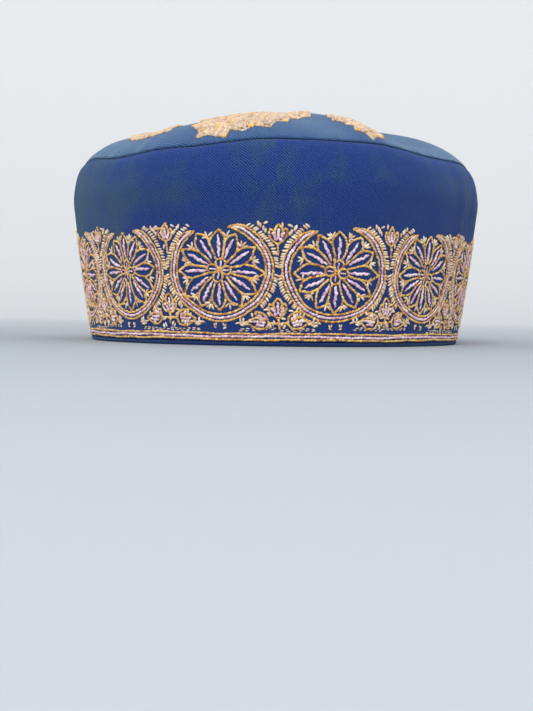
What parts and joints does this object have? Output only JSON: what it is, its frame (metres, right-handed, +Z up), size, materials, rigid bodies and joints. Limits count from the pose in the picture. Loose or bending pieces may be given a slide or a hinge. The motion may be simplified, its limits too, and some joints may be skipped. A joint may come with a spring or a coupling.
{
  "type": "embroidered cap",
  "caption": "Soft oval brimless cap in twill with a tall side panel, a domed crown, an embroidered border round the lower side and leafy thread work on the crown.",
  "frame": {"origin": "middle of the oval on the plane that the hem stands on", "axes": "+Z up, -Y to the front of the cap, +X to its left side as worn, which is right in a view of its front"},
  "size_m": [0.1708, 0.2114, 0.0935],
  "materials": {
    "twill": "matt blue wool twill",
    "crown_twill": "matt blue wool twill, greyer where light grazes it",
    "facing_cloth": "matt blue cloth",
    "border_threads": "satin embroidery thread in gold, pink and cream",
    "crown_threads": "satin embroidery thread in peach, beige and yellow"
  },
  "bodies": {
    "root": {"side_panel": "twill", "crown_panel": "crown_twill", "hem_facing": "facing_cloth", "embroidered_border": "border_threads", "crown_rosette": "crown_threads", "crown_sprig_1": "crown_threads", "crown_sprig_2": "crown_threads", "crown_sprig_3": "crown_threads", "crown_sprig_4": "crown_threads", "crown_sprig_5": "crown_threads", "crown_sprig_6": "crown_threads", "crown_sprig_7": "crown_threads"}
  },
  "joints": []
}
